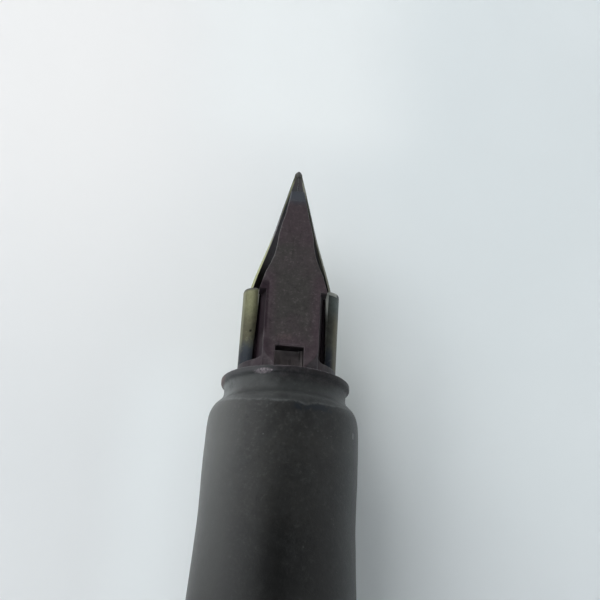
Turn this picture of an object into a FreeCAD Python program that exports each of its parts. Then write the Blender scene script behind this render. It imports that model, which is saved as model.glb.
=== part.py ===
import FreeCAD, Part
import math
import os

# Cartridge and converter fountain pen, uncapped, with a slip-on steel nib on a moulded feed.
# Millimetres. The pen's axis is Z and the nib points to +Z, which is called the front.
# The origin is the centre of the barrel's flat rear end.
# The feed's belly faces -Y and the top of the nib faces +Y.

Vec = FreeCAD.Vector
ORIGIN, AXIS = Vec(0, 0, 0), Vec(0, 0, 1)
os.makedirs("parts", exist_ok=True)

# ---------------------------------------------------------------- driving dimensions
GAP = 0.03  # clearance of fixed, pushed-together pieces
# levels along the axis
Z_PLUG = 6.1  # front face of the end plug
Z_CAVITY = 7.5  # floor of the barrel's cavity
Z_JOINT = 79.0  # barrel mouth, against the catch ring
Z_CATCH = 80.6  # front of the catch ring, rear face of the grip sleeve
Z_CORE_STEP = 100.0  # where the core and the sleeve's bore narrow
Z_BORE = 104.0  # floor of the core's counterbore
Z_FEED_REAR = 104.2  # rear of the feed's collar, just clear of that floor
Z_NIB_REAR = 107.2  # rear edge of the nib, inside the section
Z_BOSS = 109.85  # front of the core, just inside the sleeve's rim
Z_RIM = 110.0  # front edge of the grip sleeve
Z_COLLAR = 111.0  # front of the feed's collar, which stands out of the section
Z_BLADE = 117.3  # rear of the nib's tapered blade
Z_RAIL = 117.5  # front end of the nib's folded rails
Z_TIP = 129.3  # end of the writing point
Z_BLADE_END = Z_TIP - 0.35
# radii
R_BARREL = 6.4
R_RIM = 5.1
R_SPIGOT = 5.0  # core inside the catch ring and the sleeve
R_BOSS = 4.3
R_BORE = 4.02  # core's front counterbore, which takes the nib and the feed's collar
R_COLLAR = R_BORE - 0.04
# nib sheet
NIB_SHEET = 0.22
R_NIB = 3.93  # outside of the nib's roof
R_NIB_IN = R_NIB - NIB_SHEET
FOLD_CENTRE = (2.68, -0.25)  # (x, y) of the +X folded rail
FOLD_R = 1.25  # outer radius of each folded rail
SLIT = 0.07
# barrel thread
LEAD = 2.4
THREAD_ROOT, THREAD_CREST = 4.72, 5.18
# piston rod thread
ROD_LEAD = 4.5
ROD_ROOT, ROD_CREST = 1.12, 1.62
# converter's ink tube
Z_TUBE_REAR = 41.0
R_TUBE, R_TUBE_BORE = 3.60, 3.05


# ---------------------------------------------------------------- helpers
def revolve(profile):
    """Solid of revolution from (radius, z) corners."""
    points = [Vec(r, 0, z) for r, z in profile]
    return Part.Face(Part.makePolygon(points + [points[0]])).revolve(ORIGIN, AXIS, 360)


def revolve_spline(outer, inner):
    """Solid of revolution: one smooth curve through outer, then straight through inner and back.
    Both are lists of (radius, z)."""
    curve = Part.BSplineCurve()
    curve.interpolate([Vec(r, 0, z) for r, z in outer])
    edges = [curve.toShape()]
    points = [Vec(r, 0, z) for r, z in [outer[-1]] + inner + [outer[0]]]
    for start, end in zip(points, points[1:]):
        edges.append(Part.makeLine(start, end))
    return Part.Face(Part.Wire(edges)).revolve(ORIGIN, AXIS, 360)


def tube(r_in, r_out, z0, z1):
    return revolve([(r_in, z0), (r_out, z0), (r_out, z1), (r_in, z1)])


def cylinder(radius, z0, z1):
    return Part.makeCylinder(radius, z1 - z0, Vec(0, 0, z0))


def box(x0, x1, y0, y1, z0, z1):
    return Part.makeBox(x1 - x0, y1 - y0, z1 - z0, Vec(x0, y0, z0))


def torus(major, minor, z):
    return Part.makeTorus(major, minor, Vec(0, 0, z))


def prism(points, push):
    return Part.Face(Part.makePolygon(points + [points[0]])).extrude(push)


def prism_x(outline, x0, x1):
    """(y, z) outline extruded along X."""
    return prism([Vec(x0, y, z) for y, z in outline], Vec(x1 - x0, 0, 0))


def prism_y_mirrored(half, y0, y1):
    """(x, z) outline, given for +X and mirrored to -X, extruded along Y."""
    outline = half + [(-x, z) for x, z in reversed(half)]
    return prism([Vec(x, y0, z) for x, z in outline], Vec(0, y1 - y0, 0))


def prism_z(wire, z0, z1):
    face = Part.Face(wire)
    face.translate(Vec(0, 0, z0))
    return face.extrude(Vec(0, 0, z1 - z0))


def arc_loop(arcs):
    """Closed wire of three-point arcs, each joined to the next by a straight line."""
    edges = []
    for arc, following in zip(arcs, arcs[1:] + arcs[:1]):
        edges.append(Part.Arc(*arc).toShape())
        edges.append(Part.makeLine(arc[2], following[0]))
    return Part.Wire(edges)


def roof_arc(radius):
    """Half circle over +Y, from -X to +X."""
    return [Vec(-radius, 0, 0), Vec(0, radius, 0), Vec(radius, 0, 0)]


def fold_arc(centre, radius, start, end, side):
    """Arc about (side * x, y) of centre; 0 degrees is outward, 90 degrees is down to -Y."""
    points = []
    for degrees in (start, (start + end) / 2, end):
        angle = math.radians(degrees)
        x = centre[0] + radius * math.cos(angle)
        points.append(Vec(side * x, centre[1] - radius * math.sin(angle), 0))
    return points


def largest(shape):
    return max(shape.Solids, key=lambda solid: solid.Volume)


def add_thread(body, root, crest, lead, z0, z1, root_width, crest_width):
    """Fuse a two-start right-handed thread, trimmed square to z0..z1, onto body."""
    starts = 2
    inside = root - 0.25  # the ridges are sunk into the body
    low = z0 - lead
    slope = (root_width - crest_width) / 2 / (crest - root)
    half_inside = root_width / 2 + slope * (root - inside)
    half_crest = crest_width / 2
    # one phase for every thread of the same lead, so that mating threads mesh
    phase = (low / lead) % 1.0
    for start in range(starts):
        helix = Part.makeHelix(lead, (z1 - z0) + 2 * lead, root)
        helix.translate(Vec(0, 0, low))
        section = Part.makePolygon([
            Vec(inside, 0, low - half_inside),
            Vec(crest, 0, low - half_crest),
            Vec(crest, 0, low + half_crest),
            Vec(inside, 0, low + half_inside),
            Vec(inside, 0, low - half_inside),
        ])
        ridge = Part.Wire(helix).makePipeShell([Part.Wire(section)], True, True)
        ridge.rotate(ORIGIN, AXIS, 360.0 * (start / starts + phase))
        body = body.fuse(ridge.common(cylinder(crest + 1, z0, z1)))
    return body


def save(name, shape):
    if shape.ShapeType != "Compound":
        shape = shape.removeSplitter()
    solids = shape.Solids
    out = solids[0] if len(solids) == 1 else Part.makeCompound(solids)
    out.exportStep("parts/%s.step" % name)


# ---------------------------------------------------------------- section
# outside of the grip, front to rear: (radius, z)
GRIP = [
    (R_RIM, 109.62), (4.93, 109.45), (4.84, 109.15), (4.82, 108.85), (4.88, 108.48),
    (5.06, 108.14), (5.38, 107.82), (5.64, 107.47), (5.80, 107.10), (5.895, 106.60),
    (5.955, 105.70), (5.99, 104.20), (6.02, 102.20), (6.00, 100.20), (6.02, 98.60),
    (6.09, 97.20), (6.17, 95.60), (6.25, 94.20), (6.32, 92.80), (6.37, 91.20),
    (6.395, 89.0), (R_BARREL, 86.5), (R_BARREL, 84.0),
]
# section core, up the outside and back down the bore: (radius, z)
CORE = [
    (0.95, 76.5), (1.55, 76.5), (1.70, 76.9), (1.70, 84.5), (4.10, 84.5), (4.10, 70.0),
    (4.30, 69.0), (4.55, 69.0), (THREAD_ROOT, 69.3), (THREAD_ROOT, Z_JOINT),
    (R_SPIGOT, Z_JOINT), (R_SPIGOT, Z_CORE_STEP - GAP), (R_BOSS, Z_CORE_STEP - GAP),
    (R_BOSS, Z_BOSS - 0.08), (R_BOSS - 0.08, Z_BOSS), (R_BORE + 0.1, Z_BOSS),
    (R_BORE, Z_BOSS - 0.1), (R_BORE, Z_BORE), (3.62, Z_BORE), (3.62, 88.2),
    (1.52, 88.2), (1.52, 85.5), (0.95, 85.0),
]


def make_grip_sleeve():
    return revolve_spline(GRIP, [
        (R_BARREL, Z_CATCH + 0.15), (R_BARREL - 0.15, Z_CATCH),
        (R_SPIGOT + GAP, Z_CATCH), (R_SPIGOT + GAP, Z_CORE_STEP),
        (R_BOSS + GAP, Z_CORE_STEP), (R_BOSS + GAP, Z_RIM),
        (R_RIM - 0.12, Z_RIM), (R_RIM, Z_RIM - 0.12),
    ])


def make_section_core():
    core = add_thread(revolve(CORE), THREAD_ROOT, THREAD_CREST, LEAD, 70.0, 76.6, 0.74, 0.30)
    # keyway for the feed's keel, open to the front
    return core.cut(box(-2.25, 2.25, -4.6, -3.0, Z_BORE, 112.0))


def make_catch_ring():
    """Ring that holds the cap by three small humps."""
    z_rear, z_front = Z_JOINT + 0.01, Z_CATCH - 0.02
    bore, edge, outside = R_SPIGOT + GAP, 6.28, 6.36
    ring = revolve([
        (bore, z_rear), (edge, z_rear), (outside, z_rear + 0.09),
        (outside, z_front - 0.09), (edge, z_front), (bore, z_front),
    ])
    hump_circle = 5.86
    for degrees in (30, 150, 270):
        angle = math.radians(degrees)
        x, y = hump_circle * math.cos(angle), hump_circle * math.sin(angle)
        ring = ring.fuse(Part.makeSphere(0.6, Vec(x, y, (Z_JOINT + Z_CATCH) / 2)))
    return ring


save("grip_sleeve", make_grip_sleeve())
save("section_core", make_section_core())
save("catch_ring", make_catch_ring())
# seal ring on the spigot
save("seal_ring", torus(THREAD_ROOT + 0.45, 0.4, 78.45))

# ---------------------------------------------------------------- nib
# blade in plan, front to rear: (z, half width)
BLADE_PLAN = [
    (129.3, 0.24), (129.17, 0.303), (128.84, 0.377), (128.5, 0.49), (128.16, 0.59),
    (127.82, 0.69), (127.13, 0.88), (126.43, 1.09), (125.72, 1.29), (125.01, 1.495),
    (124.3, 1.69), (123.58, 1.905), (122.85, 2.14), (122.11, 2.38), (121.36, 2.615),
    (120.6, 2.855), (119.85, 3.075), (119.1, 3.275), (118.3, 3.47), (117.2, 3.58),
]
BLADE_LEVELS = [
    Z_BLADE, 118.2, 119.2, 120.4, 121.8, 123.4, 125.0, 126.6, 127.8, Z_BLADE_END,
]
APEX_TIP = 0.30  # height of the blade's top at the tip
ARCH_TIP = 2.4  # arch radius at the tip
Z_BREATHER = 119.6  # breather hole, where the slit starts
NIB_SLIT = box(-SLIT / 2, SLIT / 2, -2, 5, Z_BREATHER, 131)


def half_width(z):
    for (z_front, w_front), (z_rear, w_rear) in zip(BLADE_PLAN, BLADE_PLAN[1:]):
        if z_rear <= z <= z_front:
            return w_front + (w_rear - w_front) * (z_front - z) / (z_front - z_rear)


def roof(z):
    """(apex height, arch radius, half width) of the blade's outside at level z."""
    share = (Z_TIP - z) / (Z_TIP - Z_BLADE)
    apex = APEX_TIP + (R_NIB - APEX_TIP) * share ** 0.93
    return apex, ARCH_TIP + (R_NIB - ARCH_TIP) * share, half_width(z)


def blade_wire(z):
    apex, arch, width = roof(z)
    centre = apex - arch

    def blade_arc(radius, side):
        """Arc over the top that starts at side, -1 or 1 in X."""
        end = math.asin(width / radius)
        return [Vec(radius * math.sin(angle), centre + radius * math.cos(angle), z)
                for angle in (side * end, 0, -side * end)]

    return arc_loop([blade_arc(arch, -1), blade_arc(arch - NIB_SHEET, 1)])


def channel(r_out, r_in, z0, z1, fold_end):
    """Roof between two radii, with a fold of the same thickness on each side.
    fold_end is the angle in degrees where the folds stop."""
    fold_out = FOLD_R + (r_out - R_NIB)
    fold_in = fold_out - (r_out - r_in)
    wire = arc_loop([
        fold_arc(FOLD_CENTRE, fold_out, fold_end, 0, -1),
        roof_arc(r_out),
        fold_arc(FOLD_CENTRE, fold_out, 0, fold_end, 1),
        fold_arc(FOLD_CENTRE, fold_in, fold_end, 0, 1),
        roof_arc(r_in)[::-1],
        fold_arc(FOLD_CENTRE, fold_in, 0, fold_end, -1),
    ])
    return prism_z(wire, z0, z1)


def round_rails(rails):
    """Round the front corners of the rails, as seen from below."""
    # x of the rounding's centre, x beyond the edge, radius, top of the cut in y
    corners = [(3.68, 4.1, 0.25, 0.6), (3.21, 2.5, 0.35, -0.6)]
    for side in (-1, 1):
        for x_centre, x_edge, radius, y_top in corners:
            x0, x1 = sorted((x_centre * side, x_edge * side))
            z = Z_RAIL - radius
            corner = box(x0, x1, -3.0, y_top, z, Z_RAIL + 0.5)
            rounding = Part.makeCylinder(radius, 6, Vec(side * x_centre, -4, z), Vec(0, 1, 0))
            rails = rails.cut(corner.cut(rounding))
    return rails


def make_nib(blade):
    rails = round_rails(channel(R_NIB, R_NIB_IN, Z_NIB_REAR, Z_RAIL, 80.0))
    nib = blade.fuse(rails).cut(NIB_SLIT)
    return nib.cut(Part.makeCylinder(0.45, 8, Vec(0, 0, Z_BREATHER), Vec(0, 1, 0)))


def make_tipping(blade):
    """Hard pellet at the point, split by the slit."""
    radius, smallest = 0.28, 0.004  # slivers below the smallest volume are left out
    apex = roof(Z_BLADE_END)[0]
    pellet = Part.makeSphere(radius, Vec(0, apex - NIB_SHEET / 2 - 0.05, Z_TIP - radius))
    solids = pellet.cut(blade).cut(NIB_SLIT).Solids
    return Part.makeCompound([solid for solid in solids if solid.Volume > smallest])


blade = Part.makeLoft([blade_wire(z) for z in BLADE_LEVELS], True, False)
save("nib_blade", make_nib(blade))
save("nib_tipping", make_tipping(blade))

# ---------------------------------------------------------------- feed
# side view, from the keel up the long slope to the chiselled front: (y, z)
BELLY = [
    (5, Z_FEED_REAR), (-4.26, Z_FEED_REAR), (-4.26, 110.4), (-4.0, 111.0), (-3.5, 114.0),
    (-3.0, 117.0), (-2.52, 119.0), (-2.0, 121.0), (-1.5, 123.0), (-1.02, 125.0),
    (-0.80, 125.95), (-0.16, 127.25), (1.5, 127.25), (5, 120.0),
]
# +X half of the front part in plan, front to rear: (x, z)
FRONT_PLAN = [
    (0.56, 127.3), (0.74, 125.95), (1.00, 124.4), (1.27, 123.3), (1.45, 122.2),
    (1.51, 121.4), (1.69, 120.3), (2.03, 119.25), (2.32, 118.55), (2.56, 117.6),
    (2.71, 117.05), (2.71, 116.9),
]
# +X half of the skirt in front of the collar, in plan: (x, z)
SKIRT_PLAN = [
    (2.1, 111.5), (2.2, 111.22), (2.4, 111.06), (2.65, Z_COLLAR), (2.65, 110.2),
]
KEEL_HALF = 2.16


def under_blade_wire(z):
    """Outline of the space under the blade: arch above, straight down well below the belly."""
    apex, arch, width = roof(z)
    centre = apex - arch
    radius = arch - NIB_SHEET - GAP
    angle = math.asin(min(width * 0.985 / radius, 0.96))
    x = radius * math.sin(angle)
    y = centre + radius * math.cos(angle)
    edges = [Part.Arc(Vec(-x, y, z), Vec(0, centre + radius, z), Vec(x, y, z)).toShape()]
    corners = [Vec(x, y, z), Vec(x, -6, z), Vec(-x, -6, z), Vec(-x, y, z)]
    for start, end in zip(corners, corners[1:]):
        edges.append(Part.makeLine(start, end))
    return Part.Wire(edges)


def make_front(belly):
    under_blade = Part.makeLoft([under_blade_wire(z) for z in BLADE_LEVELS], True, False)
    front = belly.common(prism_y_mirrored(FRONT_PLAN, -5, 5))
    return front.common(under_blade.fuse(box(-4, 4, -6, 3.3, 116.0, Z_BLADE + 0.05)))


def make_flange():
    """Body under the nib's roof; its rounded lower corners sit in the folded rails."""
    centre, radius = (2.70, -0.20), 0.92
    wire = arc_loop([
        roof_arc(R_NIB_IN - 0.05),
        fold_arc(centre, radius, 0, 90, 1),
        fold_arc(centre, radius, 90, 0, -1),
    ])
    return prism_z(wire, Z_FEED_REAR, Z_BLADE)


def make_keel(belly):
    keel = box(-KEEL_HALF, KEEL_HALF, -4.3, 0, Z_FEED_REAR, Z_BLADE).common(belly)
    keel = keel.common(cylinder(4.28, 100, 110.06).fuse(box(-4, 4, -5, 1, 110.05, 118)))
    # lower corners are bevelled off towards the round collar
    for side in (-1, 1):
        normal = Vec(side * 0.68, -0.68, -0.28)
        cutter = Part.makeBox(6, 6, 3, Vec(-3, -3, 0))
        cutter.Placement = FreeCAD.Placement(
            Vec(side * KEEL_HALF, -3.95, 111.7), FreeCAD.Rotation(AXIS, normal)
        ).multiply(cutter.Placement)
        keel = keel.cut(cutter)
    return keel


def nib_room(fold_end):
    """Space for the nib's channel, with clearance all round."""
    return channel(R_NIB + 0.06, R_NIB_IN - 0.06, Z_NIB_REAR - 0.3, 119.0, fold_end)


def make_feed():
    belly = prism_x(BELLY, -4, 4)
    front = make_front(belly)
    wide_room = nib_room(104.0)
    skirt = prism_y_mirrored(SKIRT_PLAN, -3.6, -1.6).common(belly)
    skirt = skirt.common(cylinder(R_COLLAR, Z_FEED_REAR, 113))
    collar = cylinder(R_COLLAR, Z_FEED_REAR, Z_COLLAR).fuse(skirt)
    collar = largest(collar.cut(nib_room(90.0)).cut(wide_room))
    stem = cylinder(2.25, 88.3, 104.5)
    stem = stem.fuse(cylinder(1.40, 85.6, 88.5)).fuse(cylinder(0.85, 79.0, 85.8))
    feed = front.fuse(make_flange()).fuse(make_keel(belly)).fuse(collar).fuse(stem)
    feed = feed.cut(wide_room)
    # narrow ink channel along the top
    feed = feed.cut(box(-0.15, 0.15, 0.35, 5, 78.0, 128.0))
    # rectangular pocket in the keel
    feed = feed.cut(box(-1.21, 1.03, -5.0, -2.70, 108.6, 111.93))
    return largest(feed.removeSplitter())


def make_feed_comb():
    """Comb that slips over the feed's stem and buffers ink."""
    bore, valley, outside = 2.28, 2.70, 3.52
    z_rear, pitch, fin, gaps = 88.6, 0.80, 0.40, 19
    profile = [(bore, z_rear)]
    for i in range(gaps):
        z = z_rear + i * pitch
        profile += [(outside, z), (outside, z + fin), (valley, z + fin), (valley, z + pitch)]
    z = z_rear + gaps * pitch
    profile += [(outside, z), (outside, z + fin), (bore, z + fin)]
    # one slot along the top and a narrower one along the bottom
    comb = revolve(profile).cut(box(-0.3, 0.3, 2.0, 4.0, 88, 105))
    return comb.cut(box(-0.2, 0.2, -4.0, -2.9, 88, 105))


save("feed", make_feed())
save("feed_comb", make_feed_comb())

# ---------------------------------------------------------------- barrel
# tapering outside, front to rear: (radius, z)
BARREL_OUTSIDE = [
    (R_BARREL, 58.0), (6.38, 50.0), (6.30, 40.0), (6.16, 30.0), (5.98, 21.0), (5.80, 15.2),
]
# rear end, bore and mouth: (radius, z)
BARREL_REST = [
    (5.62, 14.6), (5.62, 2.0), (5.50, 0.9), (5.20, 0.25), (4.80, 0.0), (3.23, 0.0),
    (3.23, 3.2), (2.9, 3.2), (2.9, Z_CAVITY - 1.2), (2.0, Z_CAVITY - 1.2), (2.0, Z_CAVITY),
    (4.4, Z_CAVITY), (4.4, 20.0), (5.1, 24.0), (5.1, 69.4), (5.62, 69.4),
    (5.62, Z_JOINT), (R_BARREL - 0.1, Z_JOINT), (R_BARREL, Z_JOINT - 0.1),
]


def make_barrel():
    barrel = revolve_spline(BARREL_OUTSIDE, BARREL_REST)
    # a round-ended slot through each side wall
    half, x_in, x_out, z_ends = 1.3, 3.5, 7, (52.3, 64.7)
    for side in (-1, 1):
        x0, x1 = sorted((x_in * side, x_out * side))
        slot = box(x0, x1, -half, half, *z_ends)
        for z in z_ends:
            end = Part.makeCylinder(half, x_out - x_in, Vec(x_in * side, 0, z), Vec(side, 0, 0))
            slot = slot.fuse(end)
        barrel = barrel.cut(slot)
    return barrel


def make_thread_bush():
    root, crest = THREAD_ROOT + 0.11, THREAD_CREST + 0.12
    tap = add_thread(cylinder(root, 66.0, 81.0), root, crest, LEAD, 67.5, 79.5, 0.98, 0.52)
    blank = revolve([(0, 69.5), (5.2, 69.5), (5.59, 69.8), (5.59, 77.6), (0, 77.6)])
    return largest(blank.cut(tap))


def make_end_plug():
    return revolve([
        (0, 0), (2.7, 0.0), (3.0, 0.12), (3.2, 0.12), (3.2, 3.15), (2.87, 3.15),
        (2.87, Z_PLUG - 0.3), (2.5, Z_PLUG), (0, Z_PLUG),
    ])


save("barrel", make_barrel())
save("thread_bush", make_thread_bush())
save("end_plug", make_end_plug())

# ---------------------------------------------------------------- converter
R_TUBE_FIT = R_TUBE_BORE - GAP  # pieces pushed into the ink tube
# profiles of revolution: (radius, z)
MOUTH = [
    (1.73, 76.2), (R_TUBE_FIT, 76.2), (R_TUBE_FIT, 79.02), (3.95, 79.02), (3.95, 83.0),
    (3.6, 83.6), (1.95, 83.6), (1.73, 83.2),
]
CONVERTER_COLLAR = [
    (3.02, 34.2), (4.05, 34.2), (4.10, 34.35), (4.10, 46.9), (4.0, 47.0),
    (R_TUBE + GAP, 47.0), (R_TUBE + GAP, Z_TUBE_REAR), (3.5, Z_TUBE_REAR), (3.5, 39.95),
    (3.02, 39.95),
]
KNOB = [
    (0, 16.0), (3.2, 16.0), (3.7, 16.5), (3.7, 33.0), (3.5, 33.9), (2.95, 33.9),
    (2.95, 40.0), (2.55, 40.0), (2.55, 40.72), (2.95, 40.72), (2.85, 40.95),
    (2.22, 40.95), (2.22, 17.3), (0, 17.3),
]
PISTON_HEAD = [
    (ROD_ROOT + GAP, 47.85), (2.55, 47.85), (2.80, 48.1), (2.80, 48.5), (2.45, 48.5),
    (2.45, 49.2), (2.80, 49.2), (2.80, 51.2), (2.45, 51.2), (2.45, 51.9), (2.80, 51.9),
    (2.80, 52.5), (0.9, 54.4), (0, 54.4), (0, 50.65), (1.8, 50.65), (1.8, 49.55),
    (ROD_ROOT + GAP, 49.55),
]


def make_rod_guide():
    """Disc with a flat-sided hole that keeps the rod from turning."""
    hole = cylinder(ROD_CREST + 0.1, 40, 46).common(box(-3, 3, -1.2, 1.2, 40, 46))
    return cylinder(R_TUBE_FIT, Z_TUBE_REAR + 0.05, 44.0).cut(hole)


def make_turning_knob():
    knob = revolve(KNOB)
    flutes, circle = 24, 3.78
    for i in range(flutes):
        angle = math.radians(360 / flutes * i)
        foot = Vec(circle * math.cos(angle), circle * math.sin(angle), 18.2)
        knob = knob.cut(Part.makeCylinder(0.22, 13.5, foot))
    return knob


def make_drive_nut():
    root, crest = ROD_ROOT + 0.09, ROD_CREST + 0.1
    tap = add_thread(cylinder(root, 34.0, 43.0), root, crest, ROD_LEAD, 35.5, 41.5, 1.30, 0.86)
    return largest(cylinder(2.2, 36.6, 40.4).cut(tap))


def make_piston_rod():
    rod = cylinder(ROD_ROOT, 17.6, 50.6)
    rod = add_thread(rod, ROD_ROOT, ROD_CREST, ROD_LEAD, 17.9, 46.5, 1.05, 0.62)
    # flats on both sides
    flat = 1.1
    rod = rod.cut(box(-3, 3, flat, 3, 17, 48)).cut(box(-3, 3, -3, -flat, 17, 48))
    # two discs at the front end
    return largest(rod.fuse(cylinder(1.75, 46.8, 47.8)).fuse(cylinder(1.75, 49.6, 50.6)))


save("ink_tube", tube(R_TUBE_BORE, R_TUBE, Z_TUBE_REAR, 79.0))
save("mouth_bush", revolve(MOUTH))
save("converter_collar", revolve(CONVERTER_COLLAR))
save("rod_guide", make_rod_guide())
save("turning_knob", make_turning_knob())
save("drive_nut", make_drive_nut())
# open clip in the groove of the knob's neck
save("knob_clip", tube(2.57, 3.42, 40.05, 40.62).cut(box(-0.5, 0.5, 0, 4, 40, 41)))
save("piston_rod", make_piston_rod())
save("piston_head", revolve(PISTON_HEAD))
# seals in the two grooves of the piston head
save("piston_seals", Part.makeCompound([torus(2.76, 0.27, z) for z in (48.85, 51.55)]))
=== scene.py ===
import bpy, bmesh, math
import numpy as np
from contextlib import contextmanager
from mathutils import Vector, Matrix, noise

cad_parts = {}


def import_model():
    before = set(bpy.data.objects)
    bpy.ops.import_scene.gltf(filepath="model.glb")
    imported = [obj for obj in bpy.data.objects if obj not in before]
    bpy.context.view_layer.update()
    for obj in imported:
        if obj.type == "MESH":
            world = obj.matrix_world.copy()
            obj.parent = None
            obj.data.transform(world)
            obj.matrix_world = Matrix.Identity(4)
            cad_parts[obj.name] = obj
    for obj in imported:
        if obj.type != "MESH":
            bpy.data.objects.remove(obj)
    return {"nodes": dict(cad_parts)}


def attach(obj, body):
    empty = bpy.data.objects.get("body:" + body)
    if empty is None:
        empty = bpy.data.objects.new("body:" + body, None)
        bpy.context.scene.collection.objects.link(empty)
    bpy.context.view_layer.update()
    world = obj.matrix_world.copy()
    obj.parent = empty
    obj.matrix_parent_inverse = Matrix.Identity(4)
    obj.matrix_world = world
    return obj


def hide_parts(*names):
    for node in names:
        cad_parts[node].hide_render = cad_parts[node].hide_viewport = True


# Uncapped fountain pen, standing on its tail on the floor with its axis on Z and the nib up.
# The feed faces -Y, towards the camera; the roof of the nib faces +Y; -X is on the viewer's left.
# Sizes are in millimetres and are scaled to metres when a mesh is made.
CAD_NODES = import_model()["nodes"]
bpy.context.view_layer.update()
MM = 0.001
COLLECTION = bpy.context.scene.collection

# Worn edge between the grip's neck and its shoulder: a tilted, wavy line with one dip.
# Both the sleeve's shape and its material follow it.
CREASE_Z = 107.86
CREASE_TILT = 0.15  # rise per mm of y
WAVE_HEIGHT, WAVE_RATE, WAVE_PHASE = 0.03, 3.1, 1.0
DIP_X, DIP_WIDTH, DIP_DEPTH = 1.35, 0.45, 0.15

# Sideways bend of the nib's blade: a shift to +X, then a swing back that starts at SWING_Z.
BEND_SHIFT = 0.055
SWING_Z, SWING_LENGTH, SWING_POWER, SWING_SIZE = 124.0, 5.0, 1.5, 0.07


# ------------------------------------------------------------------ mesh helpers
def link_object(name, mesh):
    ob = bpy.data.objects.new(name, mesh)
    COLLECTION.objects.link(ob)
    return ob


def make_mesh(name, verts, faces, smooth=True):
    mesh = bpy.data.meshes.new(name)
    mesh.from_pydata([tuple(float(c) * MM for c in v) for v in verts], [], faces)
    mesh.validate()
    mesh.update()
    if smooth:
        mesh.polygons.foreach_set("use_smooth", [True] * len(mesh.polygons))
    return link_object(name, mesh)


@contextmanager
def editing(mesh):
    """Open a mesh as a BMesh and write it back at the end."""
    work = bmesh.new()
    work.from_mesh(mesh)
    yield work
    work.to_mesh(mesh)
    work.free()


def smooth_below(ob, degrees):
    """Smooth shading, with edges sharper than the angle marked sharp."""
    mesh = ob.data
    mesh.polygons.foreach_set("use_smooth", [True] * len(mesh.polygons))
    limit = math.radians(degrees)
    with editing(mesh) as work:
        for edge in work.edges:
            edge.smooth = len(edge.link_faces) != 2 or edge.calc_face_angle(0.0) < limit
    mesh.update()


def face_outwards(ob):
    with editing(ob.data) as work:
        bmesh.ops.recalc_face_normals(work, faces=work.faces)


def baked_mesh(ob):
    """A new mesh with the object's modifiers applied."""
    bpy.context.view_layer.update()
    graph = bpy.context.evaluated_depsgraph_get()
    return bpy.data.meshes.new_from_object(ob.evaluated_get(graph))


def spline(points, steps):
    """Catmull-Rom curve through (r, z) points, with a number of steps per span."""
    knots = [np.array(q, float) for q in points]
    curve = []
    for i in range(len(knots) - 1):
        p1, p2 = knots[i], knots[i + 1]
        p0 = knots[i - 1] if i > 0 else 2 * p1 - p2
        p3 = knots[i + 2] if i + 2 < len(knots) else 2 * p2 - p1
        for k in range(steps):
            t = k / steps
            curve.append(0.5 * (2 * p1 + (-p0 + p2) * t + (2 * p0 - 5 * p1 + 4 * p2 - p3) * t * t
                                + (-p0 + 3 * p1 - 3 * p2 + p3) * t ** 3))
    curve.append(knots[-1])
    return [tuple(q) for q in curve]


def resample(points, spacing_at):
    """Thin a dense line of (r, z) points to the spacing that spacing_at(z) asks for."""
    kept = [points[0]]
    last = np.array(points[0], float)
    for point in points[1:]:
        point = np.array(point, float)
        if np.linalg.norm(point - last) >= spacing_at(point[1]):
            kept.append(tuple(point))
            last = point
    if np.linalg.norm(np.array(kept[-1]) - np.array(points[-1])) > 1e-6:
        kept.append(tuple(points[-1]))
    return kept


def lathe(name, profile, segments, reshape):
    """Revolve a closed (r, z) profile about Z. reshape(r, z, angle) returns the final (r, z)."""
    verts, faces = [], []
    for r, z in profile:
        for k in range(segments):
            angle = 2 * math.pi * k / segments
            radius, height = reshape(r, z, angle)
            verts.append((radius * math.cos(angle), radius * math.sin(angle), height))
    for i in range(len(profile)):
        a, b = i * segments, (i + 1) % len(profile) * segments
        for k in range(segments):
            after = (k + 1) % segments
            faces.append((a + k, a + after, b + after, b + k))
    ob = make_mesh(name, verts, faces)
    face_outwards(ob)
    return ob


def prism(start, end):
    """Vertices, cap faces and side faces of a prism between two outlines of equal length."""
    n = len(start)
    caps = [list(range(n))[::-1], list(range(n, 2 * n))]
    sides = [[i, (i + 1) % n, n + (i + 1) % n, n + i] for i in range(n)]
    return start + end, caps, sides


def put(ob, material):
    ob.data.materials.clear()
    ob.data.materials.append(material)


def stand_in(ob, node, material, part):
    """Let a detailed object take a CAD node's place."""
    put(ob, MATERIALS[material])
    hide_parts(node)
    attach(ob, part)


# ------------------------------------------------------------------ node helpers
def plug(tree, value, socket):
    """Link a Value to a socket, or set the socket to a number, a vector or an RGB colour."""
    if isinstance(value, Value):
        tree.links.new(value.socket, socket)
    else:
        if isinstance(value, tuple) and socket.type == "RGBA":
            value = (*value, 1.0)
        socket.default_value = value


def add_node(tree, kind, inputs=None, **settings):
    node = tree.nodes.new("ShaderNode" + kind)
    for key, setting in settings.items():
        setattr(node, key, setting)
    for key, value in (inputs or {}).items():
        plug(tree, value, node.inputs[key])
    return node


def new_value(tree, kind, inputs=None, output=0, **settings):
    return Value(tree, add_node(tree, kind, inputs, **settings).outputs[output])


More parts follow.
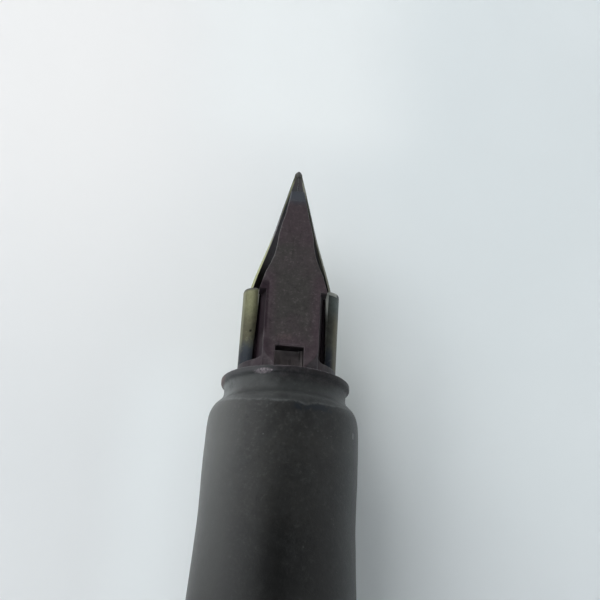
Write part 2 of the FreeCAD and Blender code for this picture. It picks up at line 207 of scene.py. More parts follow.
class Value:
    """A node's output. Arithmetic on it adds Math nodes."""

    def __init__(self, tree, socket):
        self.tree = tree
        self.socket = socket

    def math(self, operation, first, second=0.0):
        return new_value(self.tree, "Math", {0: first, 1: second, 2: 0.0}, operation=operation)

    def __add__(self, other): return self.math("ADD", self, other)
    def __radd__(self, other): return self.math("ADD", other, self)
    def __sub__(self, other): return self.math("SUBTRACT", self, other)
    def __rsub__(self, other): return self.math("SUBTRACT", other, self)
    def __mul__(self, other): return self.math("MULTIPLY", self, other)
    def __truediv__(self, other): return self.math("DIVIDE", self, other)
    def __pow__(self, other): return self.math("POWER", self, other)
    def __abs__(self): return self.math("ABSOLUTE", self)
    def max(self, other): return self.math("MAXIMUM", self, other)
    def min(self, other): return self.math("MINIMUM", self, other)
    def sin(self): return self.math("SINE", self)
    def exp(self): return self.math("EXPONENT", self)

    def step(self, off, on):
        """Mask, smooth from 0 at off to 1 at on; off may be above on."""
        low, high, first, last = (off, on, 0.0, 1.0) if off < on else (on, off, 1.0, 0.0)
        return new_value(self.tree, "MapRange", {0: self, 1: low, 2: high, 3: first, 4: last},
                         interpolation_type="SMOOTHSTEP")

    def band(self, at, half, soft):
        """Mask, 1 within half of at, falling to 0 over soft."""
        return abs(self - at).step(off=half + soft, on=half)

    def swing(self, by):
        """A noise centred on 0 and scaled."""
        return (self - 0.5) * by

    def value(self, off, on):
        """The number off where this mask is 0, on where it is 1."""
        return new_value(self.tree, "Mix", {0: self, 2: off, 3: on}, data_type="FLOAT")

    def color(self, off, on):
        """The colour off where this mask is 0, on where it is 1."""
        return new_value(self.tree, "Mix", {0: self, 6: off, 7: on}, 2, data_type="RGBA")

    def mottle(self, dark, light):
        """Two colours, divided by this noise."""
        return self.step(off=0.3, on=0.7).color(off=dark, on=light)

    def paint(self, mask, color, amount=None):
        """This colour with another laid over it where the mask is 1."""
        return (mask if amount is None else mask * amount).color(off=self, on=color)

    def times(self, color):
        return new_value(self.tree, "Mix", {0: 1.0, 6: self, 7: color}, 2,
                         data_type="RGBA", blend_type="MULTIPLY")

    def ramp(self, stops):
        """Grey ramp through (position, level) stops."""
        node = add_node(self.tree, "ValToRGB", {0: self})
        elements = node.color_ramp.elements
        while len(elements) < len(stops):
            elements.new(0.5)
        for element, (position, level) in zip(elements, stops):
            element.position = position
            element.color = (level, level, level, 1.0)
        return Value(self.tree, node.outputs[0])

    def dot(self, direction):
        return new_value(self.tree, "VectorMath", {0: self, 1: direction}, "Value",
                         operation="DOT_PRODUCT")

    def axes(self):
        node = add_node(self.tree, "SeparateXYZ", {0: self})
        return [Value(self.tree, socket) for socket in node.outputs]


class Shader:
    """A Principled material whose coordinates are object space in millimetres."""
    SOCKETS = {"color": "Base Color", "rough": "Roughness", "metal": "Metallic",
               "spec": "Specular IOR Level", "trans": "Transmission Weight", "ior": "IOR"}

    def __init__(self, name):
        self.material = bpy.data.materials.new(name)
        self.material.use_nodes = True
        self.tree = self.material.node_tree
        self.tree.nodes.clear()
        self.output = add_node(self.tree, "OutputMaterial")
        self.bsdf = add_node(self.tree, "BsdfPrincipled")
        self.surface = Value(self.tree, self.bsdf.outputs[0])
        plug(self.tree, self.surface, self.output.inputs[0])
        metres = self.new("TexCoord", output="Object")
        self.place = self.new("VectorMath", {0: metres, 3: 1000.0}, operation="SCALE")
        self.normal = None

    def new(self, kind, inputs=None, output=0, **settings):
        return new_value(self.tree, kind, inputs, output, **settings)

    def noise(self, scale, detail, rough, stretch=None):
        """Noise per mm; stretch scales the axes one by one."""
        place = self.place
        if stretch:
            place = self.new("VectorMath", {0: place, 1: stretch}, operation="MULTIPLY_ADD")
        return self.new("TexNoise", {"Scale": scale, "Detail": detail, "Roughness": rough,
                                     "Vector": place})

    def dots(self, scale, off, on):
        """Mask of round dots, one to a Voronoi cell; off and on are distances from the middle."""
        return self.new("TexVoronoi", {"Scale": scale, "Vector": self.place}).step(off, on)

    def geometry(self, output):
        return self.new("NewGeometry", output=output)

    def bump(self, height, strength, dist):
        """Lay a bump, dist mm high, over those made before it."""
        inputs = {"Strength": strength, "Distance": dist * MM, "Height": height}
        if self.normal:
            inputs["Normal"] = self.normal
        self.normal = self.new("Bump", inputs)

    def finish(self, **inputs):
        for key, value in inputs.items():
            plug(self.tree, value, self.bsdf.inputs[self.SOCKETS[key]])
        plug(self.tree, self.normal, self.bsdf.inputs["Normal"])
        return self.material


# ------------------------------------------------------------------ materials
def black_plastic(name):
    """Matt black moulding. Returns the shader, its colour and its roughness."""
    mat = Shader(name)
    big = mat.noise(scale=0.22, detail=5, rough=0.6)
    mid = mat.noise(scale=1.4, detail=6, rough=0.6)
    fine = mat.noise(scale=9.0, detail=4, rough=0.6)
    base = big.step(off=0.35, on=0.7).color(off=(0.010, 0.010, 0.010), on=(0.016, 0.0155, 0.0145))
    base = base.paint(mid.step(off=0.45, on=0.75), amount=0.45, color=(0.022, 0.023, 0.023))
    # matt grain: fine and coarser mottling, a few pale specks of dust
    grain = (mat.noise(scale=4.6, detail=3, rough=0.7).swing(by=1.4)
             + mat.noise(scale=1.9, detail=4, rough=0.65).swing(by=1.2))
    base = base.paint(grain.step(off=0.0, on=0.60), amount=0.55, color=(0.046, 0.046, 0.043))
    base = base.paint(grain.step(off=-0.05, on=-0.70), amount=0.95, color=(0.003, 0.003, 0.003))
    dust = (mat.dots(scale=1.25, off=0.085, on=0.045)
            * mat.noise(scale=0.35, detail=3, rough=0.5).step(off=0.47, on=0.56))
    base = base.paint(dust, amount=0.26, color=(0.120, 0.124, 0.122))
    mat.bump(fine, strength=0.55, dist=0.02)
    mat.bump(mat.noise(scale=3.2, detail=4, rough=0.7), strength=0.30, dist=0.04)
    mat.bump(mat.noise(scale=28.0, detail=2, rough=0.5), strength=0.2, dist=0.01)
    return mat, base, 0.44 + mid.swing(by=0.16)


def along_grip(z, levels):
    """Grey levels at five places over the 20 mm of grip above z 90."""
    return ((z - 90.0) / 20.0).ramp(list(zip((0.0, 0.15, 0.45, 0.72, 1.0), levels)))


def above_crease(x, y, z):
    """Height above the worn edge, the same curve as crease_z."""
    crease = y * CREASE_TILT + CREASE_Z + (x * WAVE_RATE + WAVE_PHASE).sin() * WAVE_HEIGHT
    dip = (x - DIP_X) / DIP_WIDTH
    dip = (dip * dip * -1.0).exp()
    return z - (crease - dip * y.step(off=0.1, on=-0.1) * DIP_DEPTH)


def grip_material():
    mat, base, rough = black_plastic("grip_moulded_black")
    x, y, z = mat.place.axes()
    # painted lighter towards the neck, where more light falls, with a painted sheen on the lit -X
    # side
    base = base.times(along_grip(z, levels=(0.62, 0.66, 1.0, 1.45, 1.5)))
    painted_left_sheen = x.step(off=-2.6, on=-6.1) * along_grip(z, levels=(0.16, 0.26, 0.62, 1.0, 1.0))
    base = base.paint(painted_left_sheen, color=(0.082, 0.083, 0.080))
    # painted dark reflection down the middle of the front, also given less specular below
    core = (x.band(at=-0.30, half=0.15, soft=1.45)
            * (z.step(off=104.5, on=95.0) * y.step(off=-2.0, on=-4.0)))
    base = base.paint(core, amount=0.55, color=(0.002, 0.002, 0.002))
    # neck above the worn edge: painted lighter where it faces the light, most on the -X side, then
    # grime, a smudge and dust
    above = above_crease(x, y, z)
    neck = above.step(off=-0.02, on=0.10)
    base = base.paint(neck, amount=0.24, color=(0.055, 0.061, 0.061))
    base = base.paint(neck * x.step(off=-3.3, on=-4.8), amount=0.75, color=(0.105, 0.112, 0.112))
    grime = (mat.noise(scale=1.05, detail=6, rough=0.72).step(off=0.47, on=0.64)
             * z.step(off=107.4, on=108.0))
    base = base.paint(grime, amount=0.55, color=(0.012, 0.012, 0.012))
    smudge = (above.band(at=0.42, half=0.10, soft=0.22)
              * mat.noise(scale=0.9, detail=4, rough=0.6).step(off=0.42, on=0.60)
              * y.step(off=0.5, on=-0.5))
    base = base.paint(smudge, amount=0.6, color=(0.008, 0.008, 0.009))
    dust = (mat.noise(scale=3.1, detail=5, rough=0.75).step(off=0.56, on=0.72)
            * z.step(off=106.5, on=108.0))
    base = base.paint(dust, amount=0.30, color=(0.090, 0.095, 0.095))
    # the worn edge itself, a broken pale line: wear, with a painted highlight along the edge
    broken = mat.noise(scale=2.6, detail=4, rough=0.7).step(off=0.34, on=0.60)
    base = base.paint(above.band(at=0.02, half=0.02, soft=0.13) * broken,
                      amount=0.42, color=(0.105, 0.112, 0.112))
    # dried ink under the worn edge
    crust = (above.band(at=-0.28, half=0.12, soft=0.24) * x.band(at=1.9, half=1.25, soft=0.7)
             * (y.step(off=-2.0, on=-3.5)
                * mat.noise(scale=2.4, detail=5, rough=0.72).step(off=0.40, on=0.53)))
    base = base.paint(crust, amount=0.85, color=(0.008, 0.0115, 0.0165))
    nick = (x.band(at=5.22, half=0.03, soft=0.07) * z.band(at=105.45, half=0.15, soft=0.15)
            * y.step(off=-0.5, on=-1.5))
    base = base.paint(nick, amount=0.6, color=(0.16, 0.165, 0.17))
    # lip: ink-stained and darker towards its upper edge
    wobble = mat.noise(scale=1.3, detail=5, rough=0.65).swing(by=0.6)
    base = base.paint((z + wobble).step(off=109.15, on=109.75),
                      amount=0.85, color=(0.021, 0.020, 0.0225))
    ink = (x.step(off=-1.9, on=-0.4)
           * ((z + wobble).step(off=108.60, on=109.45) * y.step(off=0.3, on=-0.6)))
    ink_color = mat.noise(scale=2.0, detail=5, rough=0.7).step(off=0.42, on=0.66).color(
        off=(0.0115, 0.0105, 0.0115), on=(0.032, 0.028, 0.030))
    base = base.paint(ink, amount=0.92, color=ink_color)
    # worn patch: a ragged ellipse round x -2.02, z 109.55
    across = (x + 2.02) * 1.35
    along = (z - 109.55) * 5.2
    ellipse = (across * across + along * along
               + mat.noise(scale=3.4, detail=5, rough=0.8).swing(by=3.2))
    patch = (ellipse.step(off=1.15, on=0.35) * y.step(off=-2.0, on=-3.0)
             * mat.noise(scale=6.0, detail=4, rough=0.75).step(off=0.30, on=0.62))
    base = base.paint(patch, amount=0.80, color=(0.250, 0.210, 0.230))
    stain = x.step(off=-4.72, on=-5.0) * z.band(at=109.62, half=0.16, soft=0.16)
    base = base.paint(stain, amount=0.6, color=(0.085, 0.030, 0.022))
    rim = (z.band(at=109.95, half=0.03, soft=0.05)
           * mat.noise(scale=2.2, detail=4, rough=0.65).step(off=0.35, on=0.6))
    base = base.paint(rim, amount=x.step(off=-1.6, on=-0.9).value(off=0.18, on=0.62),
                      color=(0.105, 0.088, 0.098))
    return mat.finish(color=base, rough=rough, spec=ink.max(core * 0.6).value(off=0.5, on=0.26))


def barrel_material():
    mat, base, rough = black_plastic("barrel_moulded_black")
    z = mat.place.axes()[2]
    # fine lengthwise and crosswise scuffs
    scuff = mat.noise(scale=1.0, detail=5, rough=0.7, stretch=(6.0, 6.0, 0.35))
    cross = mat.noise(scale=1.0, detail=4, rough=0.7, stretch=(0.5, 0.5, 7.0))
    worn = (scuff.step(off=0.55, on=0.64)
            * mat.noise(scale=0.12, detail=3, rough=0.6).step(off=0.42, on=0.56))
    base = base.paint(worn, amount=0.45, color=(0.050, 0.051, 0.050))
    base = base.paint(cross.step(off=0.57, on=0.66), amount=0.30, color=(0.045, 0.046, 0.046))
    # polished zone where a cap slides on, and dust in the step above it
    slid = z.step(off=14.9, on=14.4) * cross.step(off=0.40, on=0.60)
    base = base.paint(slid, amount=0.35, color=(0.042, 0.043, 0.043))
    base = base.paint(z.band(at=14.62, half=0.05, soft=0.12),
                      amount=0.45, color=(0.070, 0.070, 0.066))
    rough = (slid * 0.8).value(off=rough, on=0.34)
    rough = (worn * 0.5).value(off=rough, on=0.36)
    return mat.finish(color=base, rough=rough, spec=0.5)


def feed_material():
    mat = Shader("feed_moulded_ink_stained")
    x, y, z = mat.place.axes()
    big = mat.noise(scale=0.33, detail=5, rough=0.6)
    mid = mat.noise(scale=1.5, detail=6, rough=0.68)
    fine = mat.noise(scale=11.0, detail=5, rough=0.65)
    streak = mat.noise(scale=1.0, detail=5, rough=0.65, stretch=(5.5, 1.2, 0.55))
    # grey along the middle, purple on the sides and at both ends
    grey = mid.step(off=0.32, on=0.7).color(off=(0.0300, 0.0275, 0.0260),
                                            on=(0.0370, 0.0335, 0.0320))
    purple = mid.mottle(dark=(0.0380, 0.0245, 0.0310), light=(0.0500, 0.0330, 0.0405))
    edge = abs(x).step(off=0.95, on=2.05)
    upper = z.step(off=120.6, on=123.2)
    low = z.step(off=113.6, on=111.4)
    side = (edge * z.step(off=120.0, on=117.6)).max((upper * 0.85).max(low))
    stained = big.step(off=0.48, on=0.68) * 0.35 + side * 0.75
    base = stained.min(1.0).color(off=grey, on=purple)
    # dry streaks along the slope
    slope = x.band(at=-0.1, half=0.35, soft=0.5) * z.band(at=121.3, half=1.6, soft=1.6)
    base = base.paint(streak.step(off=0.50, on=0.66) * slope,
                      amount=0.55, color=(0.018, 0.014, 0.015))
    base = base.paint(streak.step(off=0.40, on=0.25), amount=0.22, color=(0.060, 0.052, 0.052))
    grain = (mat.noise(scale=5.0, detail=4, rough=0.75).swing(by=1.4)
             + mat.noise(scale=2.0, detail=5, rough=0.7).swing(by=1.0))
    base = base.paint(grain.step(off=0.02, on=0.50), amount=0.80, color=(0.100, 0.086, 0.086))
    base = base.paint(grain.step(off=-0.02, on=-0.50), amount=0.80, color=(0.008, 0.006, 0.008))
    rust = (x.band(at=-0.55, half=0.35, soft=0.35) * z.band(at=112.75, half=0.12, soft=0.25)
            * mat.noise(scale=1.4, detail=5, rough=0.7).step(off=0.40, on=0.60))
    base = base.paint(rust, amount=0.45, color=(0.105, 0.075, 0.070))
    # painted shade on the keel's sides in the recess behind the table, beside the rails
    recess_shade = y.step(off=-2.86, on=-2.55) * abs(x).step(off=1.6, on=1.9)
    base = base.paint(recess_shade * z.step(off=118.4, on=117.6), amount=0.90, color=(0.014, 0.008, 0.011))
    # pocket: end wall painted black as shadow; dusty floor, painted lighter towards -X where light
    # comes in from that side
    normal_y = mat.geometry("Normal").axes()[1]
    pocket = (y.step(off=-3.75, on=-3.55)
              * (abs(x + 0.09).step(off=1.22, on=1.10) * z.step(off=112.05, on=111.9)))
    dusty = mid.step(off=0.35, on=0.65).color(off=(0.066, 0.056, 0.057), on=(0.098, 0.084, 0.085))
    base = base.paint(pocket * normal_y.step(off=-0.6, on=-0.85),
                      color=x.step(off=-0.2, on=-1.0).color(off=dusty, on=(0.185, 0.158, 0.158)))
    base = base.paint(pocket * normal_y.step(off=-0.75, on=-0.5), color=(0.004, 0.0035, 0.004))
    # small notch above the pocket's -X corner, painted dark as its shade
    nick = x.band(at=-0.97, half=0.05, soft=0.07) * z.band(at=112.08, half=0.12, soft=0.08)
    base = base.paint(nick, amount=0.8, color=(0.006, 0.005, 0.006))
    # chiselled nose painted blue-grey as a reflection, with a dark tip
    wobble = mat.noise(scale=2.2, detail=3, rough=0.6).swing(by=0.5)
    nose = (z + wobble).step(off=125.35, on=126.35)
    base = base.paint(nose, amount=0.85, color=(0.034, 0.040, 0.050))
    base = base.paint((z + wobble).step(off=127.05, on=127.2),
                      amount=0.8, color=(0.014, 0.010, 0.014))
    # edges painted lighter as a highlight, weaker on the table and at the lower end; grooves painted
    # darker as shade
    pointy = mat.geometry("Pointiness")
    painted_edge_highlight = (pointy.step(off=0.512, on=0.56)
           * mat.noise(scale=1.1, detail=4, rough=0.6).step(off=0.30, on=0.55))
    table = z.step(off=113.6, on=114.4) * z.step(off=117.8, on=117.2)
    calm = table.value(off=1.0, on=0.45) * z.step(off=111.8, on=111.3).value(off=1.0, on=0.45)
    base = base.paint(painted_edge_highlight * calm, amount=0.55, color=(0.125, 0.118, 0.118))
    base = base.paint(pointy.step(off=0.475, on=0.42), amount=0.6, color=(0.010, 0.007, 0.009))
    speckled = mat.noise(scale=0.8, detail=2, rough=0.5).step(off=0.5, on=0.6)
    base = base.paint(mat.dots(scale=2.6, off=0.075, on=0.04),
                      amount=speckled * 0.5, color=(0.24, 0.22, 0.23))
    # the -X side of the table, beside the rail, and the skirt below it are stained darker
    flank = (x.step(off=-1.86, on=-2.06)
             * (z.step(off=112.6, on=113.6) * z.step(off=118.0, on=117.4)))
    base = base.paint(flank, amount=0.62, color=(0.012, 0.008, 0.011))
    skirt = x.step(off=-1.2, on=-2.0) * (z.step(off=112.8, on=112.0) * x.step(off=-3.6, on=-3.0))
    base = base.paint(skirt, amount=0.45, color=(0.022, 0.015, 0.020))
    rough = nose.value(off=0.50 + mid.swing(by=0.25), on=0.34)
    mat.bump(fine, strength=0.35, dist=0.02)
    mat.bump(mid, strength=0.25, dist=0.05)
    mat.bump(streak, strength=0.25, dist=0.02)
    return mat.finish(color=base, rough=flank.value(off=rough, on=0.75),
                      spec=flank.max(skirt * 0.6).value(off=0.45, on=0.10))


def core_material():
    mat = Shader("section_core_stained")
    z = mat.place.axes()[2]
    mid = mat.noise(scale=2.0, detail=6, rough=0.65)
    base = mid.step(off=0.35, on=0.7).color(off=(0.030, 0.026, 0.030), on=(0.050, 0.038, 0.046))
    base = base.paint(z.step(off=109.8, on=110.2) * mid.step(off=0.3, on=0.6),
                      color=(0.085, 0.052, 0.068))
    mat.bump(mat.noise(scale=12.0, detail=4, rough=0.6), strength=0.3, dist=0.02)
    return mat.finish(color=base, rough=0.42 + mid * 0.2, spec=0.5)


def rail_color(mat, x, y, z, mid):
    """Colour of the rails, and a mask of the painted highlight on the inner edge on the +X side."""
    # yellow tarnish on -X, grey on +X, both painted darker towards the section as shade and dark
    # reflection
    olive = mid.mottle(dark=(0.178, 0.176, 0.100), light=(0.232, 0.230, 0.140))
    olive_painted_shade = mid.mottle(dark=(0.082, 0.078, 0.052), light=(0.112, 0.106, 0.070))
    olive = z.step(off=116.6, on=114.0).color(off=olive, on=olive_painted_shade)
    grey = mid.mottle(dark=(0.085, 0.100, 0.094), light=(0.120, 0.134, 0.128))
    grey_painted_shade = mid.mottle(dark=(0.056, 0.056, 0.050), light=(0.082, 0.082, 0.068))
    grey = z.step(off=116.9, on=115.0).color(off=grey, on=grey_painted_shade)
    rail = x.step(off=-0.5, on=0.8).color(off=olive, on=grey)
    # bluish tint towards the section, painted as shade and dark reflection
    wobble = mat.noise(scale=0.5, detail=5, rough=0.6).swing(by=1.6)
    blue = z.step(off=112.6, on=111.6).color(off=(0.036, 0.044, 0.056), on=(0.022, 0.028, 0.042))
    rail = rail.paint((z + wobble).step(off=113.4, on=112.2), amount=0.88, color=blue)
    # painted highlight along the outer edge of the -X rail
    rail = rail.paint(x.step(off=-3.70, on=-3.80) * z.step(off=111.8, on=113.4),
                      amount=0.45, color=(0.36, 0.36, 0.25))
    rail = rail.paint(x.step(off=3.25, on=3.75) * z.step(off=116.6, on=114.6),
                      amount=0.6, color=(0.17, 0.15, 0.10))
    # bare metal on the inner and upper edges, with a painted highlight strongest towards their upper
    # ends
    inner = (x.step(off=3.00, on=2.92) * x.step(off=0.0, on=1.0)).max(
        x.step(off=-2.80, on=-2.70) * x.step(off=0.0, on=-1.0)).max(
        z.step(off=117.36, on=117.45) * 0.8)
    # painted highlight at the upper end of the +X rail's inner edge
    painted_inner_glint = (inner * z.step(off=115.0, on=116.2)
              * (x.step(off=1.5, on=2.2)
                 * (z.step(off=117.74, on=117.68) * y.step(off=-0.9, on=-1.1))))
    bare_and_glint = (mat.noise(scale=3.0, detail=3, rough=0.6).step(off=0.35, on=0.6) * 0.18).max(
        z.step(off=115.6, on=116.6) * 0.8)
    rail = rail.paint(inner, amount=bare_and_glint, color=(0.62, 0.62, 0.56))
    fleck = (mat.noise(scale=4.6, detail=4, rough=0.75).swing(by=1.4)
             + mat.noise(scale=1.8, detail=4, rough=0.7).swing(by=0.8))
    pale = x.step(off=-0.5, on=0.5).color(off=(0.34, 0.33, 0.21), on=(0.20, 0.21, 0.19))
    rail = rail.paint(fleck.step(off=0.05, on=0.55), amount=0.40, color=pale)
    rail = rail.paint(fleck.step(off=-0.05, on=-0.55), amount=0.55, color=(0.035, 0.034, 0.026))
    return rail, painted_inner_glint


def nib_material():
    mat = Shader("nib_tarnished_steel")
    x, y, z = mat.place.axes()
    mid = mat.noise(scale=2.2, detail=6, rough=0.65)
    streak = mat.noise(scale=1.0, detail=5, rough=0.6, stretch=(9.0, 9.0, 0.8))
    normal_y = mat.geometry("Normal").axes()[1]
    clean = mid.mottle(dark=(0.40, 0.40, 0.30), light=(0.52, 0.52, 0.42))
    rail, painted_inner_glint = rail_color(mat, x, y, z, mid)
    on_rail = z.step(off=117.75, on=117.45) * y.step(off=0.2, on=-0.2)
    base = on_rail.color(off=clean, on=rail)
    # cut edge of the blade: how far x is past a straight line from half width 3.47 at z 118.3
    over = abs(x) - (3.47 - (z - 118.3) * 0.291)
    rim = (z.step(off=117.5, on=117.7)
           * (normal_y.step(off=-0.58, on=-0.70) * over.step(off=-0.26, on=-0.14)))
    # underside of the blade: ink film, painted black as shadow in the throat and painted lighter
    # blue-grey as reflected light further towards the point
    film_edge = z + mat.noise(scale=0.9, detail=5, rough=0.65).swing(by=5.0)
    inner_film = film_edge.step(off=111.5, on=116.5) * (y.step(off=-0.1, on=0.3) * 0.92)
    under = z.step(off=117.2, on=117.5).max(inner_film) * normal_y.step(off=-0.05, on=-0.30)
    under = under * (1.0 - rim)
    film_and_painted_light = z.step(off=116.0, on=118.0).color(off=(0.030, 0.026, 0.028), on=(0.006, 0.005, 0.006))
    film_and_painted_light = film_and_painted_light.paint(z.step(off=119.8, on=121.5), color=(0.112, 0.108, 0.122))
    film_and_painted_light = film_and_painted_light.paint(z.step(off=124.2, on=125.8), color=(0.046, 0.050, 0.058))
    film_and_painted_light = film_and_painted_light.paint(mid.step(off=0.45, on=0.7), amount=0.3, color=(0.020, 0.018, 0.020))
    film_and_painted_light = film_and_painted_light.paint(z.step(off=127.6, on=128.2), color=(0.040, 0.030, 0.038))
    base = base.paint(under, amount=0.97, color=film_and_painted_light)
    # the cut edge is painted light yellow-green as a highlight along the edge, lighter on -X
    base = base.paint(rim, color=x.step(off=-0.3, on=0.3).color(off=(0.34, 0.35, 0.20),
                                                               on=(0.24, 0.235, 0.19)))
    # ink in the slit, which follows the blade's bend
    swung = ((z - SWING_Z) * (1 / SWING_LENGTH)).max(0.0) ** SWING_POWER
    ink = (abs(x - (BEND_SHIFT - swung * SWING_SIZE)).step(off=0.075, on=0.045)
           * z.step(off=119.9, on=120.1))
    base = base.paint(ink, amount=0.95, color=(0.004, 0.004, 0.005))
    base = base.paint(z.step(off=128.2, on=128.6), amount=0.75, color=(0.060, 0.055, 0.052))
    # painted highlight on the +X rail's inner edge
    base = base.paint(painted_inner_glint, amount=0.8, color=(0.46, 0.47, 0.43))
    dull = (under * 0.85).max(painted_inner_glint * 0.7).max((rim * 0.45).max(ink * 0.9))
    spot = (x.band(at=-3.15, half=0.05, soft=0.07) * z.band(at=113.80, half=0.06, soft=0.07)
            * y.step(off=-1.2, on=-1.35))
    base = base.paint(spot, amount=0.95, color=(0.01, 0.009, 0.008))
    base = base.paint(streak.step(off=0.52, on=0.7), amount=0.22, color=(0.08, 0.075, 0.06))
    mat.bump(streak, strength=0.15, dist=0.015)
    mat.bump(mat.noise(scale=16.0, detail=4, rough=0.6), strength=0.20, dist=0.01)
    return mat.finish(color=base, metal=(1.0 - dull) * 0.90,
                      rough=0.44 + mid.swing(by=0.22) + streak.swing(by=0.15))


def tipping_material():
    mat = Shader("tipping_ground_alloy")
    x, _, z = mat.place.axes()
    mid = mat.noise(scale=7.0, detail=5, rough=0.6)
    base = mid.step(off=0.35, on=0.65).color(off=(0.055, 0.050, 0.052), on=(0.16, 0.155, 0.145))
    # painted highlight on the -X side of the pellets' upper end
    base = base.paint(x.step(off=-0.12, on=-0.26) * z.step(off=128.9, on=129.1),
                      color=(0.42, 0.43, 0.36))
    mat.bump(mat.noise(scale=25.0, detail=3, rough=0.5), strength=0.2, dist=0.01)
    return mat.finish(color=base, metal=0.9, rough=0.34 + mid * 0.2)


def plain_material(name, dark, light, rough, metal=0.0, bump=0.2, turned=False):
    """One mottled colour, with fine grain or the rings of turned metal."""
    mat = Shader(name)
    mid = mat.noise(scale=2.0, detail=6, rough=0.62)
    if turned:
        height = mat.noise(scale=1.0, detail=5, rough=0.6, stretch=(0.25, 0.25, 9.0))
    else:
        height = mat.noise(scale=14.0, detail=4, rough=0.6)
    mat.bump(height, strength=bump, dist=0.02)
    return mat.finish(color=mid.mottle(dark, light), metal=metal, rough=rough + mid.swing(by=0.18))


def tube_material():
    mat = Shader("ink_tube_clear")
    mid = mat.noise(scale=1.2, detail=5, rough=0.6)
    base = mid.step(off=0.35, on=0.7).color(off=(0.86, 0.88, 0.92), on=(0.62, 0.66, 0.86))
    mat.bump(mat.noise(scale=3.0, detail=3, rough=0.5), strength=0.04, dist=0.02)
    return mat.finish(color=base, trans=0.92, rough=0.04 + mid * 0.06, ior=1.49)


MATERIALS = {
    "grip": grip_material(),
    "barrel": barrel_material(),
    "feed": feed_material(),
    "core": core_material(),
    "nib": nib_material(),
    "tip": tipping_material(),
    "steel": plain_material("ring_turned_steel", dark=(0.46, 0.46, 0.47), light=(0.62, 0.62, 0.62),
                            rough=0.24, metal=1.0, bump=0.035, turned=True),
    "rubber": plain_material("seal_rubber_black", dark=(0.012, 0.012, 0.013),
                             light=(0.022, 0.022, 0.023), rough=0.6),
    "brass": plain_material("bush_turned_brass", dark=(0.52, 0.38, 0.16), light=(0.66, 0.50, 0.24),
                            rough=0.28, metal=1.0, bump=0.05, turned=True),
    "plug": plain_material("plug_gloss_black", dark=(0.016, 0.016, 0.017),
                           light=(0.028, 0.028, 0.029), rough=0.24),
    "tube": tube_material(),
    "mouth": plain_material("mouth_bush_black", dark=(0.020, 0.020, 0.024),
                            light=(0.034, 0.034, 0.040), rough=0.34),
    "chrome": plain_material("collar_polished_chrome", dark=(0.66, 0.67, 0.69),
                             light=(0.78, 0.78, 0.79), rough=0.10, metal=1.0, bump=0.03),
    "ivory": plain_material("converter_white_plastic", dark=(0.60, 0.60, 0.57),
                            light=(0.72, 0.72, 0.70), rough=0.38),
    "knob": plain_material("knob_black_plastic", dark=(0.022, 0.022, 0.025),
                           light=(0.036, 0.036, 0.040), rough=0.32),
}

# ------------------------------------------------------------------ grip sleeve
# All four are (radius, z), in order round the sleeve's section.
SLEEVE_END = [(4.40, 110.0), (4.70, 110.0), (4.93, 110.0)]
LIP = [(5.03, 109.99), (5.092, 109.95), (5.105, 109.86), (5.108, 109.72), (5.098, 109.63),
       (5.055, 109.55), (5.00, 109.50)]
NECK = [(5.00, 109.50), (4.905, 109.41), (4.852, 109.30), (4.828, 109.14), (4.82, 108.95),
        (4.824, 108.73), (4.865, 108.50), (4.975, 108.26), (5.14, 108.04), (5.38, 107.80),
        (5.62, 107.50), (5.79, 107.12), (5.885, 106.65), (5.945, 105.80), (5.985, 104.40),
        (6.015, 102.40), (6.005, 100.20), (6.025, 98.60), (6.09, 97.20), (6.17, 95.60),
        (6.25, 94.20), (6.32, 92.80), (6.365, 91.20), (6.392, 89.0), (6.40, 86.5), (6.40, 84.0),
        (6.40, 82.0)]
SLEEVE_FOOT_AND_BORE = [(6.40, 80.78), (6.36, 80.66), (6.25, 80.6), (5.03, 80.6), (5.03, 100.0),
                        (4.33, 100.0), (4.33, 104.0), (4.33, 109.93)]
LIP_Z = 109.5  # lower end of the lip
RIDGE_HEIGHT, RIDGE_WIDTH = 0.013, 0.09  # raised line along the worn edge
UNEVENNESS = 0.010
NICK_DEPTH, NICK_DROP = 0.022, 0.03  # nicks on the lip, inwards and downwards


def crease_z(x, y):
    z = CREASE_Z + CREASE_TILT * y + WAVE_HEIGHT * math.sin(WAVE_RATE * x + WAVE_PHASE)
    if y < 0:
        z -= DIP_DEPTH * math.exp(-((x - DIP_X) / DIP_WIDTH) ** 2)
    return z


def wear_sleeve(r, z, angle):
    x, y = r * math.cos(angle), r * math.sin(angle)
    if z > 105.0 and r > 4.75 and z < 109.45:
        above = z - crease_z(x, y)
        uneven = 1.0 + 0.7 * noise.noise(Vector((x * 1.6, y * 1.6, 5.0)))
        r += RIDGE_HEIGHT * uneven * math.exp(-(above / RIDGE_WIDTH) ** 2)
    r += UNEVENNESS * noise.noise(Vector((x * 0.9, y * 0.9, z * 0.9)))
    if z > LIP_Z:
        r -= NICK_DEPTH * max(0.0, noise.noise(Vector((x * 2.3 + 7, y * 2.3, 3.0))) - 0.15)
        z -= NICK_DROP * max(0.0, noise.noise(Vector((x * 1.7, y * 1.7, 9.0))) - 0.1)
    return r, z


def sleeve_spacing(z):
    """Close rings round the lip and the shoulder, wider ones below."""
    if z > 106.2:
        return 0.035
    return 0.12 if z > 100 else 0.35


sleeve_outside = resample(spline(LIP, 6) + spline(NECK, 24)[1:], sleeve_spacing)
grip = lathe("grip_sleeve_shell", SLEEVE_END + sleeve_outside + SLEEVE_FOOT_AND_BORE,
             segments=320, reshape=wear_sleeve)
smooth_below(grip, 50)
stand_in(grip, "grip_sleeve", "grip", "section")

